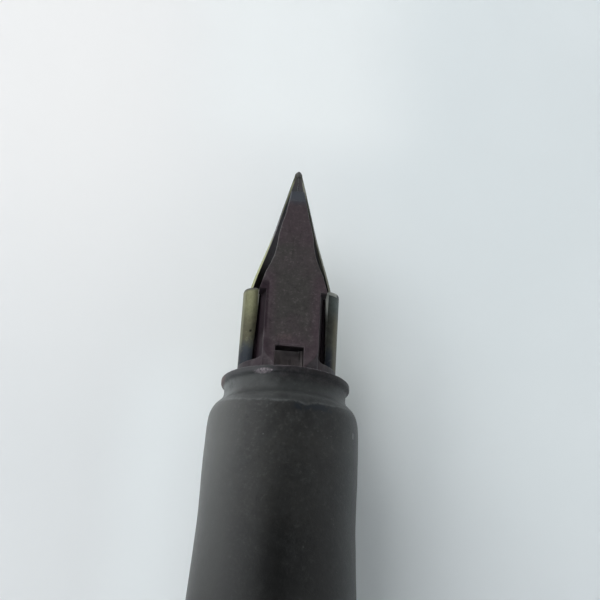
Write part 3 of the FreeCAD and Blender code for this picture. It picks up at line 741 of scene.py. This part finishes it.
# ------------------------------------------------------------------ nib
# A sheet in two lengths. Below FOLD_Z its tail is a half-round roof with walls that roll
# inwards into rails; above FOLD_Z it is the tapering blade. Sizes are of the sheet's middle.
SHEET_THICKNESS = 0.22
HALF_SHEET = SHEET_THICKNESS / 2
ROOF_RADIUS = 3.82
RAIL_RADIUS = 1.14
RAIL_X = ROOF_RADIUS - RAIL_RADIUS  # centre of a rail's roll
RAIL_Y = -0.25
TAIL_Z, FOLD_Z, NIB_TOP_Z = 107.2, 117.3, 129.24
WING_TOP_Z = 117.5
BREATHER_Z = 119.6  # centre of the breather hole, where the slit starts
BREATHER_RADIUS = 0.45
BLADE_COLUMNS, WING_COLUMNS = 14, 66  # faces across one half of the blade, and one wing

# (z, half width of the blade)
BLADE_WIDTHS = [
    (117.2, 3.58), (118.3, 3.47), (119.1, 3.275), (119.85, 3.075), (120.6, 2.855), (121.36, 2.615),
    (122.11, 2.38), (122.85, 2.14), (123.58, 1.905), (124.3, 1.69), (125.01, 1.495),
    (125.72, 1.29), (126.43, 1.09), (127.13, 0.88), (127.82, 0.69), (128.16, 0.59), (128.5, 0.49),
    (128.84, 0.377), (129.17, 0.303), (129.3, 0.24)]

# Arc lengths from the roof's centre line: half the roof, the blade's edge, the wall's end.
ROOF_ARC = ROOF_RADIUS * math.pi / 2
EDGE_ARC = ROOF_RADIUS * math.asin(3.52 / ROOF_RADIUS)
WALL_ARC = ROOF_ARC - RAIL_Y
# Per side (+X, -X): the wing's upper end, the arc length to its free edge, the rail's inner x.
WING_TOP = {1: WING_TOP_Z + 0.19, -1: WING_TOP_Z}
WING_ARC = {1: WALL_ARC + RAIL_RADIUS * math.radians(80),
            -1: WALL_ARC + RAIL_RADIUS * math.radians(91)}
RAIL_INNER_X = {1: 3.21, -1: 3.00}
INNER_CORNER = 0.36
OUTER_CORNER_X, OUTER_CORNER_WIDTH, OUTER_CORNER_DROP = 3.70, 0.235, 0.22
FOLD_BLEND = 0.5  # arc over which the wing's upper end joins the blade


def unit(value):
    return max(0.0, min(1.0, value))


def blade_curve(z):
    """Height of the blade's crown and radius of its cross-section."""
    down = unit((129.3 - z) / 12.0)
    return 0.30 + 3.63 * down ** 0.93 - HALF_SHEET, 2.4 + 1.53 * down - HALF_SHEET


def blade_point(arc, z):
    crown, radius = blade_curve(z)
    angle = arc / radius
    return radius * math.sin(angle), crown - radius + radius * math.cos(angle)


def tail_point(arc):
    if arc <= ROOF_ARC:
        angle = arc / ROOF_RADIUS
        return ROOF_RADIUS * math.sin(angle), ROOF_RADIUS * math.cos(angle)
    if arc <= WALL_ARC:
        return ROOF_RADIUS, ROOF_ARC - arc
    angle = (arc - WALL_ARC) / RAIL_RADIUS
    return RAIL_X + RAIL_RADIUS * math.cos(angle), RAIL_Y - RAIL_RADIUS * math.sin(angle)


def blade_edge_arc(z, side):
    """Arc length to the sheet's edge in the blade, or to the fold in the tail."""
    if z <= FOLD_Z:
        return EDGE_ARC
    half = float(np.interp(z, *zip(*BLADE_WIDTHS)))
    if z > 127.5:
        half -= 0.02 * min(1.0, z - 127.5)
    if side == -1:  # slightly hollow on this side
        half -= 0.035 * max(0.0, 1.0 - ((z - 122.8) / 3.2) ** 2)
    if z > 129.0:  # rounded point
        half = max(0.08, half * math.sqrt(max(0.0, 1 - ((z - 129.0) / 0.30) ** 2)) + 0.01)
    radius = blade_curve(z)[1]
    return radius * math.asin(min(0.99, half / (radius + HALF_SHEET)))


def wing_top(arc, side):
    """Upper end of the wing: square to the axis, with both corners of the rail rounded."""
    z = WING_TOP[side]
    angle = max(0.0, (arc - WALL_ARC) / RAIL_RADIUS)
    inner_x = RAIL_X + (RAIL_RADIUS - HALF_SHEET) * math.cos(angle)
    outer_x = RAIL_X + (RAIL_RADIUS + HALF_SHEET) * math.cos(angle)
    if inner_x < RAIL_INNER_X[side] and arc > WALL_ARC:
        past = min(1.0, (RAIL_INNER_X[side] - inner_x) / INNER_CORNER)
        z -= INNER_CORNER * (1 - math.sqrt(1 - past * past))
    if outer_x > OUTER_CORNER_X:
        past = min(1.0, (outer_x - OUTER_CORNER_X) / OUTER_CORNER_WIDTH)
        z -= OUTER_CORNER_DROP * (1 - math.sqrt(1 - past * past))
    if arc < EDGE_ARC + FOLD_BLEND:
        z = FOLD_Z + (z - FOLD_Z) * max(0.0, (arc - EDGE_ARC) / FOLD_BLEND)
    return z


def roll_change(z, side):
    """Extra arc at the free edge: +X rolls further near the top, -X less near the tail."""
    if side == 1:
        return RAIL_RADIUS * math.radians(8) * unit((z - 112.5) / 4.5)
    return -RAIL_RADIUS * math.radians(9) * unit((116.6 - z) / 4.6)


def blade_bend(z):
    """The blade sits a hair to +X, and its point comes back across."""
    swung = max(0.0, (z - SWING_Z) / SWING_LENGTH) ** SWING_POWER
    return BEND_SHIFT * unit((z - FOLD_Z) / 1.2) - SWING_SIZE * swung


def build_nib_sheet():
    verts, faces, index = [], [], {}
    tail_rows = list(np.linspace(TAIL_Z, 116.9, 22)) + [117.1, 117.25, FOLD_Z]
    rows = (tail_rows + [FOLD_Z + 0.1 * i for i in range(1, 10)]
            + list(np.arange(118.4, 128.2, 0.2))
            + [128.35, 128.55, 128.75, 128.9, 129.03, 129.13, 129.2, NIB_TOP_Z])

    def add_vert(key, x, y, z):
        if key not in index:
            index[key] = len(verts)
            verts.append((x, y, z))

    def blade_key(side, i, k):
        """Both halves share the centre line up to the slit."""
        if k == 0 and rows[i] <= BREATHER_Z:
            return "middle", i
        return side, "blade", i, k

    def wing_key(side, i, j):
        return (side, "wing", i, j) if j else blade_key(side, i, BLADE_COLUMNS)

    def add_faces(side, key_of, row_count, columns):
        for i in range(row_count - 1):
            for k in range(columns):
                corners = (i, k), (i, k + 1), (i + 1, k + 1), (i + 1, k)
                quad = [index[key_of(side, *corner)] for corner in corners]
                faces.append(quad if side == 1 else quad[::-1])

    for side in (1, -1):
        for i, z in enumerate(rows):
            edge = blade_edge_arc(z, side)
            slit = 0.035 - 0.030 * (z - BREATHER_Z) / 9.6 if z > BREATHER_Z else 0.0
            for k in range(BLADE_COLUMNS + 1):
                arc = slit + (edge - slit) * k / BLADE_COLUMNS
                x, y = blade_point(arc, z) if z > FOLD_Z else tail_point(arc)
                add_vert(blade_key(side, i, k), side * x + blade_bend(z), y, z)
        add_faces(side, blade_key, len(rows), BLADE_COLUMNS)
        # wing, from the roof's edge down the wall and round the rail
        for j in range(1, WING_COLUMNS + 1):
            arc = EDGE_ARC + (WING_ARC[side] - EDGE_ARC) * j / WING_COLUMNS
            stretch = (wing_top(arc, side) - TAIL_Z) / (FOLD_Z - TAIL_Z)
            for i, row_z in enumerate(tail_rows):
                z = TAIL_Z + (row_z - TAIL_Z) * stretch
                x, y = tail_point(arc + roll_change(z, side) * j / WING_COLUMNS)
                add_vert(wing_key(side, i, j), side * x, y, z)
        add_faces(side, wing_key, len(tail_rows), WING_COLUMNS)
    ob = make_mesh("nib_sheet", verts, faces)
    face_outwards(ob)
    return ob


def cut_breather(ob):
    """Thicken the sheet, cut the round hole through its roof and bake both."""
    sheet = ob.modifiers.new("sheet", "SOLIDIFY")
    sheet.thickness = SHEET_THICKNESS * MM
    sheet.offset = 0.0
    sheet.use_even_offset = True
    turns = np.linspace(0, 2 * math.pi, 49)[:-1]
    circles = [[(BREATHER_RADIUS * math.cos(t), y, BREATHER_Z + BREATHER_RADIUS * math.sin(t))
                for t in turns] for y in (1.0, 6.0)]
    verts, caps, sides = prism(*circles)
    cutter = make_mesh("breather_cutter", verts, sides + caps, smooth=False)
    face_outwards(cutter)
    hole = ob.modifiers.new("breather", "BOOLEAN")
    hole.object = cutter
    hole.operation = "DIFFERENCE"
    hole.solver = "EXACT"
    mesh = baked_mesh(ob)
    ob.modifiers.clear()
    ob.data = mesh
    bpy.data.objects.remove(cutter)


nib = build_nib_sheet()
cut_breather(nib)
smooth_below(nib, 40)
edge_round = nib.modifiers.new("edge_round", "BEVEL")
edge_round.width = 0.04 * MM
edge_round.segments = 3
edge_round.limit_method = "ANGLE"
edge_round.angle_limit = math.radians(50)
edge_round.harden_normals = False
stand_in(nib, "nib_blade", "nib", "nib")

# ------------------------------------------------------------------ tipping
PELLET_Y, PELLET_Z = 0.13, 128.985
PELLET_RADII = (0.215, 0.235, 0.285)  # x, y, z
PELLET_GAP = 0.004  # half the gap between the two flat faces
PELLET_FLATTENING = 0.96  # of the upper half's height
PELLET_SEGMENTS, PELLET_RINGS = 28, 20


def build_tipping():
    """Two ground half pellets, one on each side of the slit."""
    verts, faces = [], []
    shift = blade_bend(129.0)
    for side in (1, -1):
        base = len(verts)
        for i in range(PELLET_RINGS + 1):
            polar = math.pi * i / PELLET_RINGS
            for k in range(PELLET_SEGMENTS):
                turn = 2 * math.pi * k / PELLET_SEGMENTS
                x = max(PELLET_RADII[0] * math.sin(polar) * math.cos(turn), PELLET_GAP) * side
                y = PELLET_RADII[1] * math.sin(polar) * math.sin(turn)
                z = PELLET_RADII[2] * math.cos(polar)
                if z > 0:
                    z *= PELLET_FLATTENING
                verts.append((x + shift, PELLET_Y + y, PELLET_Z + z))
        for i in range(PELLET_RINGS):
            low, high = base + i * PELLET_SEGMENTS, base + (i + 1) * PELLET_SEGMENTS
            for k in range(PELLET_SEGMENTS):
                after = (k + 1) % PELLET_SEGMENTS
                faces.append((low + k, low + after, high + after, high + k))
    ob = make_mesh("tipping_pellets", verts, faces)
    with editing(ob.data) as work:
        bmesh.ops.remove_doubles(work, verts=work.verts, dist=1e-7)
        bmesh.ops.recalc_face_normals(work, faces=work.faces)
    return ob


stand_in(build_tipping(), "nib_tipping", "tip", "nib")

# ------------------------------------------------------------------ feed
FEED_CUT_Z = 109.2  # above this the moulding gets soft edges, below it keeps its CAD shape
# Prisms added to the upper part: (x, y) outline, lower z, upper z.
KEEL_DRAFT = [(2.12, -2.75), (2.58, -1.10), (1.9, -1.0)]  # slopes the keel's sides to the flange
FEED_PRISMS = [
    (KEEL_DRAFT, 111.4, 117.85),
    ([(-x, y) for x, y in KEEL_DRAFT], 111.4, 117.85),
    ([(0.80, -2.98), (1.10, -2.98), (1.10, -2.5), (0.80, -2.5)], 109.6, 112.1),
    ([(-0.02, -2.80), (0.06, -2.80), (0.06, -2.5), (-0.02, -2.5)], 109.6, 111.2),
]


def cut_feed(keep_above):
    """A closed copy of the CAD feed on one side of the cut."""
    source = CAD_NODES["feed"]
    mesh = source.data.copy()
    mesh.transform(source.matrix_world)
    with editing(mesh) as work:
        bmesh.ops.remove_doubles(work, verts=work.verts, dist=1e-7)
        bmesh.ops.bisect_plane(
            work, geom=list(work.verts) + list(work.edges) + list(work.faces), dist=1e-8,
            plane_co=(0, 0, FEED_CUT_Z * MM), plane_no=(0, 0, 1),
            clear_outer=not keep_above, clear_inner=keep_above)
        rim = [edge for edge in work.edges if edge.is_valid and edge.is_boundary]
        bmesh.ops.holes_fill(work, edges=rim, sides=0)
        bmesh.ops.recalc_face_normals(work, faces=work.faces)
    return mesh


def add_prisms(mesh):
    with editing(mesh) as work:
        for outline, low, high in FEED_PRISMS:
            points, caps, sides = prism(*[[(x, y, z) for x, y in outline] for z in (low, high)])
            verts = [work.verts.new([c * MM for c in point]) for point in points]
            faces = [work.faces.new([verts[i] for i in face]) for face in caps + sides]
            bmesh.ops.recalc_face_normals(work, faces=faces)


def soften(mesh, name, voxel, rounds):
    ob = link_object(name, mesh)
    remesh = ob.modifiers.new("voxel", "REMESH")
    remesh.mode = "VOXEL"
    remesh.voxel_size = voxel * MM
    remesh.adaptivity = 0.0
    smooth = ob.modifiers.new("soft", "SMOOTH")
    smooth.factor = 0.5
    smooth.iterations = rounds
    softened = baked_mesh(ob)
    bpy.data.objects.remove(ob)
    return softened


def build_feed():
    upper = cut_feed(keep_above=True)
    lower = cut_feed(keep_above=False)
    add_prisms(upper)
    upper = soften(upper, "feed_front_work", voxel=0.045, rounds=3)
    joined = bmesh.new()
    joined.from_mesh(upper)
    joined.from_mesh(lower)
    mesh = bpy.data.meshes.new("feed_moulding")
    joined.to_mesh(mesh)
    joined.free()
    return link_object("feed_moulding", mesh)


feed = build_feed()
smooth_below(feed, 35)
stand_in(feed, "feed", "feed", "feed")

# ------------------------------------------------------------------ pieces that keep their CAD shape
CAD_MATERIALS = {
    "section_core": "core", "catch_ring": "steel", "seal_ring": "rubber", "feed_comb": "feed",
    "barrel": "barrel", "thread_bush": "brass", "end_plug": "plug", "ink_tube": "tube",
    "mouth_bush": "mouth", "converter_collar": "chrome", "rod_guide": "ivory",
    "turning_knob": "knob", "drive_nut": "ivory", "knob_clip": "steel", "piston_rod": "ivory",
    "piston_head": "ivory", "piston_seals": "rubber",
}
for node_name, material_name in CAD_MATERIALS.items():
    put(CAD_NODES[node_name], MATERIALS[material_name])


# ------------------------------------------------------------------ stage, in metres
def pale_shader(name):
    mat = Shader(name)
    tone = mat.noise(scale=0.035, detail=3, rough=0.5)
    mat.bump(mat.noise(scale=3.0, detail=3, rough=0.6), strength=0.05, dist=0.02)
    return mat, tone.mottle(dark=(0.70, 0.735, 0.75), light=(0.735, 0.765, 0.78))


def floor_material():
    mat, base = pale_shader("floor_pale")
    return mat.finish(color=base, rough=0.85, spec=0.2)


def backdrop_material():
    """Pale wall with painted soft patches of light and shade, transparent from behind and at a
    slant.
    """
    mat, base = pale_shader("backdrop_pale")
    x, _, z = mat.place.axes()
    # painted light: lighter towards -X and towards the top
    left = z.step(off=100.0, on=140.0).color(off=(0.735, 0.740, 0.750), on=(0.850, 0.828, 0.825))
    base = base.paint(x.step(off=14.0, on=-22.0), amount=0.9, color=left)
    # painted shade: darker towards +X low down
    base = base.paint(x.step(off=4.0, on=22.0) * z.step(off=108.0, on=92.0),
                      amount=0.6, color=(0.675, 0.700, 0.720))
    # painted light beside the grip on -X, low down
    base = base.paint(x.step(off=-16.0, on=-9.0) * x.step(off=-4.0, on=-6.5)
                      * z.step(off=118.0, on=108.0), color=(0.800, 0.825, 0.838))
    # painted light high up in the middle
    base = base.paint(x.step(off=16.0, on=2.0) * x.step(off=-14.0, on=-4.0),
                      amount=z.step(off=132.5, on=140.0) * 0.65, color=(0.835, 0.850, 0.852))
    # painted light next to the pen on +X, lifting its cast shadow
    base = base.paint(x.step(off=14.0, on=6.5) * x.step(off=1.0, on=4.0)
                      * z.step(off=121.0, on=112.0), amount=0.85, color=(0.895, 0.925, 0.935))
    facing = mat.geometry("Incoming").dot((0, -1, 0))
    visible = mat.new("LightPath", output="Is Camera Ray").value(
        off=facing.step(off=-0.001, on=0.001), on=facing.step(off=0.22, on=0.42))
    mixed = mat.new("MixShader", {0: visible, 1: mat.new("BsdfTransparent"), 2: mat.surface})
    plug(mat.tree, mixed, mat.output.inputs[0])
    return mat.finish(color=base, rough=0.85, spec=0.2)


def stage_plane(name, corners, material):
    mesh = bpy.data.meshes.new(name)
    mesh.from_pydata(corners, [], [(0, 1, 2, 3)])
    ob = link_object(name, mesh)
    put(ob, material)


STAGE_HALF = 0.6
FLOOR_Z = -0.00002
BACKDROP_Y, BACKDROP_HEIGHT = 0.0072, 0.7
SQUARE = [(-STAGE_HALF, -STAGE_HALF), (STAGE_HALF, -STAGE_HALF),
          (STAGE_HALF, STAGE_HALF), (-STAGE_HALF, STAGE_HALF)]
stage_plane("floor", [(x, y, FLOOR_Z) for x, y in SQUARE], floor_material())
stage_plane("backdrop", [(-STAGE_HALF, BACKDROP_Y, 0.0), (STAGE_HALF, BACKDROP_Y, 0.0),
                         (STAGE_HALF, BACKDROP_Y, BACKDROP_HEIGHT),
                         (-STAGE_HALF, BACKDROP_Y, BACKDROP_HEIGHT)], backdrop_material())


# ------------------------------------------------------------------ world
def build_world():
    """A pale room with its window at the left, darker where the viewer stands."""
    world = bpy.data.worlds.new("pale_studio")
    bpy.context.scene.world = world
    world.use_nodes = True
    tree = world.node_tree
    tree.nodes.clear()
    sky = new_value(tree, "TexCoord", output="Generated")

    def lobe(direction, off, on):
        """Mask round a direction; off and on are cosines of the angle from it."""
        return sky.dot(tuple(Vector(direction).normalized())).step(off, on)

    def math_node(operation, first, second):
        return new_value(tree, "Math", {0: first, 1: second}, operation=operation)

    def background(color, strength):
        return new_value(tree, "Background", {0: color, 1: strength})

    # strength of the light: an even level, more from two sides, and a share taken from the front
    even, from_left, from_right, front_loss = 0.12, 1.25, 0.36, 0.92
    left = lobe(direction=(-0.96, -0.05, 0.22), off=0.15, on=0.98)
    right = lobe(direction=(1.0, -0.15, 0.25), off=0.30, on=0.98)
    front = lobe(direction=(0.10, -0.95, 0.25), off=0.60, on=0.97)
    level = math_node("ADD", even, math_node("MULTIPLY", left, from_left))
    level = math_node("ADD", level, math_node("MULTIPLY", right, from_right))
    kept = math_node("SUBTRACT", 1.0, math_node("MULTIPLY", front, front_loss))
    level = math_node("MULTIPLY", level, kept)
    light = background(color=(0.93, 0.965, 0.982), strength=level)
    seen = background(color=(0.70, 0.75, 0.77), strength=1.0)
    camera_ray = new_value(tree, "LightPath", output="Is Camera Ray")
    mixed = new_value(tree, "MixShader", {0: camera_ray, 1: light, 2: seen})
    add_node(tree, "OutputWorld", {0: mixed})


build_world()


# ------------------------------------------------------------------ lights, in metres
def area_light(name, place, target, size, power, color, glossy=True):
    light = bpy.data.lights.new(name, "AREA")
    light.shape = "RECTANGLE"
    light.size = light.size_y = size
    light.energy = power
    light.color = color
    ob = link_object(name, light)
    ob.location = place
    ob.rotation_euler = (Vector(target) - Vector(place)).to_track_quat("-Z", "Y").to_euler()
    ob.visible_glossy = glossy


GRIP_TOP = (0.0, 0.0, 0.110)
area_light("key_window", place=(-0.32, -0.34, 0.42), target=GRIP_TOP, size=0.42, power=2.70,
           color=(0.98, 1.0, 1.0), glossy=False)
area_light("fill_front", place=(0.08, -0.42, 0.03), target=GRIP_TOP, size=0.32, power=0.17,
           color=(1.0, 1.0, 1.0), glossy=False)
area_light("back_fill", place=(0.15, 0.35, 0.25), target=(0, 0, 0.07), size=0.35, power=1.2,
           color=(1.0, 1.0, 1.0))

# ------------------------------------------------------------------ camera, below the nib on -Y
AZIMUTH, ELEVATION, ROLL = math.radians(-3.864), math.radians(-21.649), math.radians(3.539)
CAMERA_DISTANCE = 87.672
CAMERA_TARGET = np.array([0.747, 0.0, 117.341])


def build_camera():
    backward = np.array([math.sin(AZIMUTH) * math.cos(ELEVATION),
                         -math.cos(AZIMUTH) * math.cos(ELEVATION), math.sin(ELEVATION)])
    place = (CAMERA_TARGET + backward * CAMERA_DISTANCE) * MM
    level = np.cross(-backward, [0, 0, 1])
    level /= np.linalg.norm(level)
    upright = np.cross(level, -backward)
    right = math.cos(ROLL) * level + math.sin(ROLL) * upright
    up = -math.sin(ROLL) * level + math.cos(ROLL) * upright
    camera = bpy.data.cameras.new("photo_camera")
    camera.sensor_width = 36.0
    camera.lens = 63.852
    camera.clip_start = 0.002
    camera.clip_end = 10.0
    ob = link_object("photo_camera", camera)
    rows = [tuple(row) for row in zip(right, up, backward, place)]
    ob.matrix_world = Matrix((*rows, (0, 0, 0, 1)))
    bpy.context.scene.camera = ob


build_camera()
bpy.context.scene.view_settings.view_transform = "Standard"
bpy.context.scene.view_settings.look = "None"
